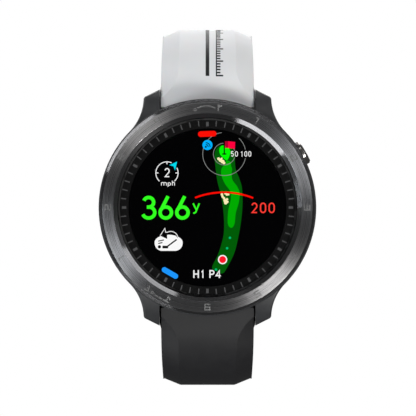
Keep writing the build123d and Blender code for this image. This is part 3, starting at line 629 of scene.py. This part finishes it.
def draw_mode_key():
    """A white key with a turning-back arrow over it and a club and ball on it."""
    left, right, bottom, shoulder, top = -11.15, -5.25, -9.15, -7.35, -5.75
    corner = 1.6
    middle = (left + right) / 2
    outline = arc(right - corner, bottom + corner, corner, corner, -90, 0)
    outline += arc(middle, shoulder, (right - left) / 2, top - shoulder, 0, 180, 28)
    outline += arc(left + corner, bottom + corner, corner, corner, 180, 270)
    key = Ink("mode_key", (252, 252, 252), 5).fill(outline)
    key.make()
    head = [(-10.0, -5.95), (-9.0, -4.4), (-8.85, -5.2)]
    back = arc(-7.75, -6.45, 1.5, 1.4, 120, 12, 10)
    under = arc(-7.75, -6.9, 1.55, 1.25, 20, 120, 10)
    arrow = head + back + under + [(-8.5, -6.65)]
    Ink("mode_arrow", (4, 4, 4), 6).fill(arrow).make()
    Ink("mode_arrow_rim", (235, 235, 235), 7).stroke(head + back, 0.17).make()
    sign = Ink("mode_sign", (8, 8, 8), 6)
    sign.stroke([(-6.5, -6.75), (-8.5, -8.25)], 0.3).stroke([(-8.3, -8.35), (-9.5, -8.35)], 0.56)
    sign.disc(-10.15, -8.3, 0.34).stroke([(-10.4, -7.6), (-9.5, -7.4)], 0.22)
    sign.stroke([(-10.4, -7.1), (-9.2, -6.85)], 0.22).make()


# ---------------- straps
# A strap's side view has u outward from the spring bar's axis and v towards the wrist, in
# millimetres, with the same curves as the frame's own strap. The upper half runs to +Z and the
# lower half is its mirror image.
slope = radians(20)
root_height = 3.2
root_straight = 3.3
root_start_u = -1.2
knuckle = 2.45
bend_radius = 17.0
thickness = 2.6
upper_back_radius, upper_back_length = 62.0, 46.0
lower_back_radius, lower_back_length = 80.0, 84.0
smooth_angle = 24

# Half widths at the case, at the furthest point and at the far end. root_fill is the half width
# below the surface between the lugs, and root_fill_end is where it has gone.
half_root, half_bend, half_end = 9.82, 9.4, 8.2
taper_length = 12.0
root_fill = 10.13
root_fill_end = 4.6

# The ends: a knuckle round the buckle's pin above, and a rounded tip below.
pin_radius = 0.8
end_knuckle = 2.0
tip_round = 10.5
tip_thinning, tip_thinning_length = 0.35, 0.5

# The side facets start at the case and reach their full width further out.
facet_width = 3.65
facet_fall = 0.41
facet_start_u, facet_full_u = 0.6, 7.1
facet_end_length = 7.0
facet_edge_round = 0.14

# The lining on the wrist side has shallow ribs across it.
lower_edge_round = 0.55
lining_inset = 3.0
rib_depth, rib_pitch, rib_run_out = 0.32, 5.0, 0.3
rib_start, rib_margin = 1.0, 12.0

# The spring bar's hole and the window for its release lever.
bar_hole_radius = 0.95
lever_x = -7.2
lever_before, lever_after, lever_half = 1.0, 2.5, 0.75

bend_start = Vector((root_height * sin(slope) + root_straight * cos(slope),
                     -root_height * cos(slope) + root_straight * sin(slope)))
bend_centre = bend_start + bend_radius * Vector((-sin(slope), cos(slope)))
bend_end_u = bend_centre.x + bend_radius


def clamp(value):
    """The value held between 0 and 1."""
    return min(1.0, max(0.0, value))


def side_arc(centre, radius, start, end):
    """Points along a circle in the side view."""
    return [Vector(p) for p in arc(centre[0], centre[1], radius, radius, start, end, 60)]


def front_curves():
    """The outer and inner surfaces from the case to the strap's furthest point."""
    root = Vector((root_start_u, -root_height / cos(slope) + root_start_u * tan(slope)))
    outer = [root] + side_arc(bend_centre, bend_radius, degrees(slope) - 90, 0)
    start = knuckle * Vector((-sin(slope), cos(slope)))
    rise = Vector((bend_end_u - thickness, bend_centre.y)) - start
    climb = 1 - sin(slope)
    run = (rise.x * cos(slope) - rise.y * climb) / (cos(slope) ** 2 - sin(slope) * climb)
    radius = (rise.y - run * sin(slope)) / cos(slope)
    bend = start + run * Vector((cos(slope), sin(slope)))
    centre = bend + radius * Vector((-sin(slope), cos(slope)))
    inner = side_arc((0, 0), knuckle, 180, 90 + degrees(slope))
    inner += side_arc(centre, radius, degrees(slope) - 90, 0)
    return outer, inner


def evenly(points, count):
    """count points at equal steps along a line of points, without the last."""
    reach = [0.0]
    for a, b in zip(points, points[1:]):
        reach.append(reach[-1] + (b - a).length)
    result = []
    k = 0
    for i in range(count):
        goal = reach[-1] * i / count
        while reach[k + 1] < goal:
            k += 1
        t = (goal - reach[k]) / (reach[k + 1] - reach[k])
        result.append(points[k].lerp(points[k + 1], t))
    return result


def back_frame(back_radius, length):
    """Centre of the strap's thickness, outward way and onward way at a length past the furthest
    point."""
    turn = length / back_radius
    out = Vector((cos(turn), sin(turn)))
    centre = Vector((bend_end_u - back_radius, bend_centre.y)) + (back_radius - thickness / 2) * out
    return centre, out, Vector((-out.y, out.x))


def strap_stations(back_radius, back_length, has_knuckle):
    """(outer point, inner point, half width, length past the furthest point) all along the strap."""
    front_rings, ring_step, before_furthest = 56, 0.5, -1.0
    outer, inner = front_curves()
    stations = []
    for o, i in zip(evenly(outer, front_rings), evenly(inner, front_rings)):
        reach = clamp(o.x / bend_end_u)
        front = half_root + (half_bend - half_root) * reach ** 3
        stations.append((o, i, front, before_furthest))
    steps = int(back_length / ring_step)
    lengths = [back_length * k / steps for k in range(steps + 1)]
    if not has_knuckle:
        close_to_tip, last = (0.02, 0.06, 0.12, 0.2, 0.3, 0.42), 0.005
        lengths += [back_length - gap for gap in close_to_tip]
        lengths = sorted(lengths)[:-1] + [back_length - last]
    for length in lengths:
        centre, out, _ = back_frame(back_radius, length)
        left = back_length - length
        half = thickness / 2
        wide = half_bend + (half_end - half_bend) * min(1.0, (centre.y - bend_centre.y) / taper_length)
        if has_knuckle and left < end_knuckle:
            half = max(half, sqrt(end_knuckle ** 2 - left ** 2))
        if not has_knuckle and left < tip_round / 2:
            wide = min(wide, sqrt(tip_round ** 2 - (tip_round - left) ** 2))
            half -= tip_thinning * (1 - min(1.0, left / tip_thinning_length)) ** 2
        stations.append((centre + out * half, centre - out * half, wide, length))
    if has_knuckle:
        centre, out, onward = back_frame(back_radius, back_length)
        for step in range(1, 9):
            a = radians(10 * step)
            past = centre + onward * end_knuckle * sin(a)
            reach = out * end_knuckle * cos(a)
            stations.append((past + reach, past - reach, half_end, back_length))
    return stations


def place(u, v, side):
    """From the side view to the frame's (y, z); side is 1 for the upper half and -1 for the lower."""
    bar = joint_at["upper_strap_swing"]
    return bar.y + v * mm, side * (bar.z + u * mm)


def strap_section(outer, inner, half, length, back_length, has_knuckle):
    """(x, depth) points round half of one cross-section, from the middle of the outer face to the
    middle of the inner face: flat crown, side facet, round lower edge, shallow ribbed lining. The
    length is negative between the case and the furthest point."""
    deep = (inner - outer).length
    grown, flare = 1.0, 0.0
    if length < 0:
        grown = clamp((outer.x - facet_start_u) / (facet_full_u - facet_start_u))
        flare = (root_fill - half) * clamp(root_fill_end - outer.x)
    facet = facet_width * (1 - (1 - grown) ** 2)
    left = back_length - length
    if has_knuckle and length > 0 and left < facet_end_length:
        facet *= 0.25 + 0.75 * left / facet_end_length
    facet = min(facet, half * 0.9)
    crown = half - facet
    fall = facet * facet_fall
    low = min(lower_edge_round, half * 0.4)
    rib = 0.0
    if rib_start < length < back_length - rib_margin:
        rib = rib_depth * clamp(0.5 + 1.5 * sin(2 * pi * length / rib_pitch))
    soft = min(facet_edge_round, facet * 0.2)
    points = [
        (0.0, 0.0), (crown - soft, 0.0), (crown + soft, soft * facet_fall),
        (half - soft * 1.6, fall - soft * 1.6 * facet_fall), (half - soft * 0.4, fall),
        (half, fall + soft * 1.5),
    ]
    points.append((half, min(fall + 1.0, deep / 2)))
    points.append((half + flare, min(fall + 1.3, deep / 2 + 0.1)))
    for step in range(4):
        a = radians(30 * step)
        points.append((half + flare - low * (1 - cos(a)), deep - low * (1 - sin(a))))
    edge = max(0.05, half - lining_inset)
    points += [(edge, deep), (max(0.04, edge - rib_run_out), deep - rib), (0.0, deep - rib)]
    return points


def strap_mesh(name, side, back_radius, back_length, has_knuckle, material, body):
    """One strap half as a skin over its cross-sections, closed at both ends."""
    vertices = []
    count = 0
    for outer, inner, half, length in strap_stations(back_radius, back_length, has_knuckle):
        down = (inner - outer).normalized()
        right = strap_section(outer, inner, half, length, back_length, has_knuckle)
        ring = right + [(-x, d) for x, d in reversed(right[1:-1])]
        count = len(ring)
        for x, depth in ring:
            point = outer + down * depth
            vertices.append((x * mm, *place(point.x, point.y, side)))
    rows = len(vertices) // count
    ends = [tuple(range(count)), tuple(range((rows - 1) * count, rows * count))]
    return new_piece(name, vertices, ends + between_rings(rows, count), material, body, smooth_angle)


def cutter(outline, middle, right, up, way, reach):
    """A prism for boolean cuts: outline in millimetres on right and up, reaching both ways along way."""
    vertices = []
    for end in (-reach, reach):
        vertices += [tuple(middle + (right * a + up * b + way * end) * mm) for a, b in outline]
    count = len(outline)
    faces = [tuple(range(count)), tuple(range(count, 2 * count))]
    faces += [(i, (i + 1) % count, count + (i + 1) % count, count + i) for i in range(count)]
    return vertices, faces


def carve(piece, cutters):
    """Cuts the prisms out of the piece for good."""
    vertices, faces = [], []
    for points, sides in cutters:
        faces += [tuple(len(vertices) + i for i in side) for side in sides]
        vertices += points
    tool = bpy.data.objects.new("cut", closed_mesh("cut", vertices, faces))
    bpy.context.scene.collection.objects.link(tool)
    boolean = piece.modifiers.new("cut", "BOOLEAN")
    boolean.operation = "DIFFERENCE"
    boolean.solver = "EXACT"
    boolean.object = tool
    bpy.context.view_layer.update()
    cut = bpy.data.meshes.new_from_object(piece.evaluated_get(bpy.context.evaluated_depsgraph_get()))
    piece.modifiers.clear()
    piece.data = cut
    bpy.data.objects.remove(tool)
    cut.shade_smooth()
    cut.set_sharp_from_angle(angle=radians(smooth_angle))


def even_shading(piece):
    """Large faces keep their own direction, so narrow rounded edges read as narrow."""
    weighted = piece.modifiers.new("weighted", "WEIGHTED_NORMAL")
    weighted.keep_sharp = True


def side_place(u, v, side):
    """A point of the side view as a point in the frame."""
    return Vector((0.0, *place(u, v, side)))


def side_way(way, side):
    """A direction of the side view as a direction in the frame."""
    return Vector((0.0, way.y, side * way.x))


def bar_cutters(side):
    """The spring bar's hole through the root, and the lever's window on the wrist side."""
    middle = side_place(0, 0, side)
    up, towards_wrist = Vector((0, 0, 1)), Vector((0, 1, 0))
    hole = cutter(clock_arc(0, 0, bar_hole_radius, 0, 345, 23), middle, up, towards_wrist, across, 15)
    window = rectangle(lever_x - lever_before, lever_x + lever_after, -lever_half, lever_half)
    reach = 3.0
    window_middle = middle + towards_wrist * reach * mm
    return [hole, cutter(window, window_middle, across, up, towards_wrist, reach)]


def strap_marks(name, spans, x0, x1, material):
    """Inlaid marks that follow the upper strap's outer surface; each span is (start, end) as lengths
    before (-) or past (+) the furthest point."""
    lift, sunk, step = 0.03, -0.2, 0.6
    vertices, faces = [], []
    for start, end in spans:
        steps = max(2, int((end - start) / step))
        first = len(vertices)
        for k in range(steps + 1):
            length = start + (end - start) * k / steps
            if length < 0:
                a = length / bend_radius
                out = Vector((cos(a), sin(a)))
                surface = bend_centre + bend_radius * out
            else:
                centre, out, _ = back_frame(upper_back_radius, length)
                surface = centre + out * thickness / 2
            for depth in (lift, sunk):
                point = surface + out * depth
                y, z = place(point.x, point.y, 1)
                vertices += [(x0 * mm, y, z), (x1 * mm, y, z)]
        for k in range(steps):
            a = first + 4 * k
            for p, q in ((0, 1), (1, 3), (3, 2), (2, 0)):
                faces.append((a + p, a + q, a + 4 + q, a + 4 + p))
        faces += [(first, first + 1, first + 3, first + 2)]
        last = first + 4 * steps
        faces += [(last, last + 1, last + 3, last + 2)]
    marks = new_piece(name, vertices, faces, material, "upper_strap", 40)


def keeper_loop(name, from_pin, gap, material, body):
    """A moulded loop round the upper strap, that far from the buckle's pin, with a gap all round and
    room above the strap for the other half's tail."""
    wall, long, tail_room = 1.0, 5.5, 3.2
    side_gap = 0.15 + gap
    loop_corner, wall_edge = 1.25, 0.4
    centre, out, onward = back_frame(upper_back_radius, upper_back_length - from_pin)
    half = half_end + side_gap + wall / 2
    low = -thickness / 2 - gap - wall / 2
    high = thickness / 2 + tail_room + wall / 2
    path = rounded_rectangle(-half, half, low, high, loop_corner, 6)
    section = rounded_rectangle(-wall / 2, wall / 2, -long / 2, long / 2, wall_edge, 4)
    vertices = []
    for x, lift, x_way, lift_way in path:
        for a, b, _, _ in section:
            point = centre + out * (lift + lift_way * a) + onward * b
            vertices.append(((x + x_way * a) * mm, *place(point.x, point.y, 1)))
    faces = between_rings(len(path), len(section), joined=True)
    piece = new_piece(name, vertices, faces, material, body, 50)
    even_shading(piece)
    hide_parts(name.replace("_moulding", ""))


def build_upper_strap(white):
    """The strap half with the buckle: the pin's eye through its knuckle and a slot for the tongue."""
    slot_half, slot_past_pin, slot_before_pin = 1.4, 5.0, 4.0
    strap = strap_mesh("upper_strap_moulding", 1, upper_back_radius, upper_back_length, True, white,
                       "upper_strap")
    centre, out, onward = back_frame(upper_back_radius, upper_back_length)
    middle = side_place(centre.x, centre.y, 1)
    along, lift = side_way(onward, 1), side_way(out, 1)
    eye = cutter(clock_arc(0, 0, pin_radius, 0, 345, 23), middle, along, lift, across, 12)
    slot = rectangle(-slot_half, slot_half, -slot_before_pin, slot_past_pin)
    carve(strap, bar_cutters(1) + [eye])
    carve(strap, [cutter(slot, middle, across, along, lift, 5)])
    even_shading(strap)
    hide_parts("upper_strap")


def mark_upper_strap(black):
    """A line down the middle of the upper strap and a ruler's scale beside it."""
    line_half = 0.38
    scale_start, pitch, count, mark = -19.5, 0.72, 36, 0.34
    spine_left, spine_right = 1.78, 2.02
    strap_marks("upper_strap_line", [(-19.4, 24.0)], -line_half, line_half, black)
    starts = [scale_start + pitch * k for k in range(count)]
    long_marks = [(s, s + mark) for s in starts[::5]]
    short_marks = [(s, s + mark) for k, s in enumerate(starts) if k % 5]
    spine = [(scale_start, starts[-1] + 0.3)]
    strap_marks("upper_strap_scale_spine", spine, spine_left, spine_right, black)
    strap_marks("upper_strap_scale_long", long_marks, spine_right, 3.33, black)
    strap_marks("upper_strap_scale_short", short_marks, spine_right, 2.75, black)


def build_lower_strap(black):
    """The strap half with the holes for the tongue."""
    hole_count, hole_pitch, first_hole, hole_long, hole_wide = 11, 6.0, 9.0, 3.6, 2.4
    strap = strap_mesh("lower_strap_moulding", -1, lower_back_radius, lower_back_length, False, black,
                       "lower_strap")
    slots = []
    straight = (hole_long - hole_wide) / 2
    outline = arc(0, straight, hole_wide / 2, hole_wide / 2, 0, 180, 12)
    outline += arc(0, -straight, hole_wide / 2, hole_wide / 2, 180, 360, 12)
    for n in range(hole_count):
        length = lower_back_length - first_hole - n * hole_pitch
        centre, out, onward = back_frame(lower_back_radius, length)
        middle = side_place(centre.x, centre.y, -1)
        slots.append(cutter(outline, middle, across, side_way(onward, -1), side_way(out, -1), 4))
    carve(strap, bar_cutters(-1) + slots)
    even_shading(strap)
    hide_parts("lower_strap")


# ---------------- stage, light and camera

def floor_paint():
    """Pale matt paint that is also lit a little from within, so that no view of it goes grey."""
    shader = plain("floor_paint", linear(232, 232, 232), 0.85, depth=0.01, grain=4.0, vary=0.01)
    shader.principled.inputs["Emission Color"].default_value = (1, 1, 1, 1)
    shader.principled.inputs["Emission Strength"].default_value = 0.62
    return shader.material


def build_stage():
    """A plain pale floor below the watch, which lets the low lights through, and a white surround
    that lights only weakly."""
    gap_below, rim, steps = 0.08, 2.6, 64
    floor_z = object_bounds()[0].z - gap_below
    turns = [2 * pi * k / steps for k in range(steps)]
    vertices = [(0.0, 0.0, floor_z)]
    vertices += [(rim * cos(a), rim * sin(a), floor_z) for a in turns]
    faces = [(0, 1 + k, 1 + (k + 1) % steps) for k in range(steps)]
    mesh = bpy.data.meshes.new("floor")
    mesh.from_pydata(vertices, [], faces)
    mesh.materials.append(floor_paint())
    floor = bpy.data.objects.new("floor", mesh)
    bpy.context.scene.collection.objects.link(floor)
    floor.visible_shadow = False
    floor.visible_glossy = False
    floor.visible_diffuse = False
    world = bpy.data.worlds.new("surround")
    world.use_nodes = True
    tree = world.node_tree
    background = tree.nodes["Background"]
    background.inputs["Color"].default_value = (1, 1, 1, 1)
    path = tree.nodes.new("ShaderNodeLightPath")
    strength = tree.nodes.new("ShaderNodeMapRange")
    strength.inputs["To Min"].default_value = 0.06
    strength.inputs["To Max"].default_value = 1.0
    tree.links.new(path.outputs["Is Camera Ray"], strength.inputs["Value"])
    tree.links.new(strength.outputs["Result"], background.inputs["Strength"])
    bpy.context.scene.world = world


def soft_light(name, clock, tilt, distance, wide, tall, power, colour=(1, 1, 1)):
    """A soft box at a clock angle round the watch, tilted away from the watch's own axis. It is wide
    round the clock and tall towards the axis."""
    a, t = radians(clock), radians(tilt)
    way = Vector((sin(t) * sin(a), -cos(t), sin(t) * cos(a)))
    light = bpy.data.lights.new(name, "AREA")
    light.shape = "RECTANGLE"
    light.size = wide
    light.size_y = tall
    light.energy = power
    light.color = colour
    lamp = bpy.data.objects.new(name, light)
    lamp.location = way * distance
    lamp.rotation_mode = "QUATERNION"
    sideways = Vector((cos(a), 0, -sin(a)))
    lamp.rotation_quaternion = Matrix((sideways, way.cross(sideways), way)).transposed().to_quaternion()
    bpy.context.scene.collection.objects.link(lamp)


def build_lights():
    """Each light in front of the watch gives the brushed bezel one bright wedge at its clock angle
    and one opposite. Those named graze are low, for the chamfers, and those behind are for the
    straps and the back."""
    soft_light("key", 139, 36, 1.0, 0.24, 0.22, 5.4, (1.0, 0.985, 0.95))
    soft_light("low_left", 240, 38, 1.0, 0.24, 0.24, 3.0, (0.95, 0.98, 1.0))
    soft_light("right", 68, 44, 1.0, 0.3, 0.3, 2.0)
    soft_light("top", 0, 48, 1.2, 0.9, 0.3, 1.4)
    soft_light("behind_top", 0, 118, 1.0, 0.8, 0.4, 5.8)
    soft_light("left", 262, 54, 1.0, 0.25, 0.25, 1.7, (0.92, 0.97, 1.0))
    soft_light("rear", 20, 150, 1.2, 1.0, 0.8, 5.0)
    soft_light("graze_upper_right", 42, 74, 0.9, 0.7, 0.2, 0.7)
    soft_light("graze_lower_left", 217, 74, 0.9, 0.55, 0.2, 1.1)
    soft_light("graze_upper_left", 310, 98, 0.9, 0.65, 0.25, 1.6)


def build_camera():
    """Straight on to the dial from far enough that the sides hardly show."""
    frame_width = 87.8 * mm
    distance = 2.5
    sensor = 36.0
    camera = bpy.data.cameras.new("camera")
    camera.sensor_width = sensor
    camera.lens = sensor * distance / frame_width
    camera.dof.use_dof = False
    camera.clip_start = 0.1
    camera.clip_end = 20.0
    eye = bpy.data.objects.new("camera", camera)
    eye.location = (0.116 * mm, bezel_front - distance, -0.105 * mm)
    eye.rotation_mode = "QUATERNION"
    eye.rotation_quaternion = Vector((0, 1, 0)).to_track_quat("-Z", "Y")
    bpy.context.scene.collection.objects.link(eye)
    bpy.context.scene.camera = eye
    bpy.context.scene.view_settings.view_transform = "Standard"


def build():
    finish_nodes()
    draw_course()
    draw_readouts()
    draw_mode_key()
    white = silicone("strap_white", linear(233, 234, 236), 0.5, 0.1, 0.08).material
    black = silicone("strap_black", linear(31, 31, 33), 0.5, 0.02, 0.0).material
    build_upper_strap(white)
    mark_upper_strap(black)
    build_lower_strap(black)
    keeper_loop("fixed_keeper_moulding", from_pin=9.5, gap=0.12, material=white, body="upper_strap")
    keeper_loop("free_keeper_moulding", from_pin=18.0, gap=0.3, material=white, body="free_keeper")
    build_stage()
    build_lights()
    build_camera()


build()
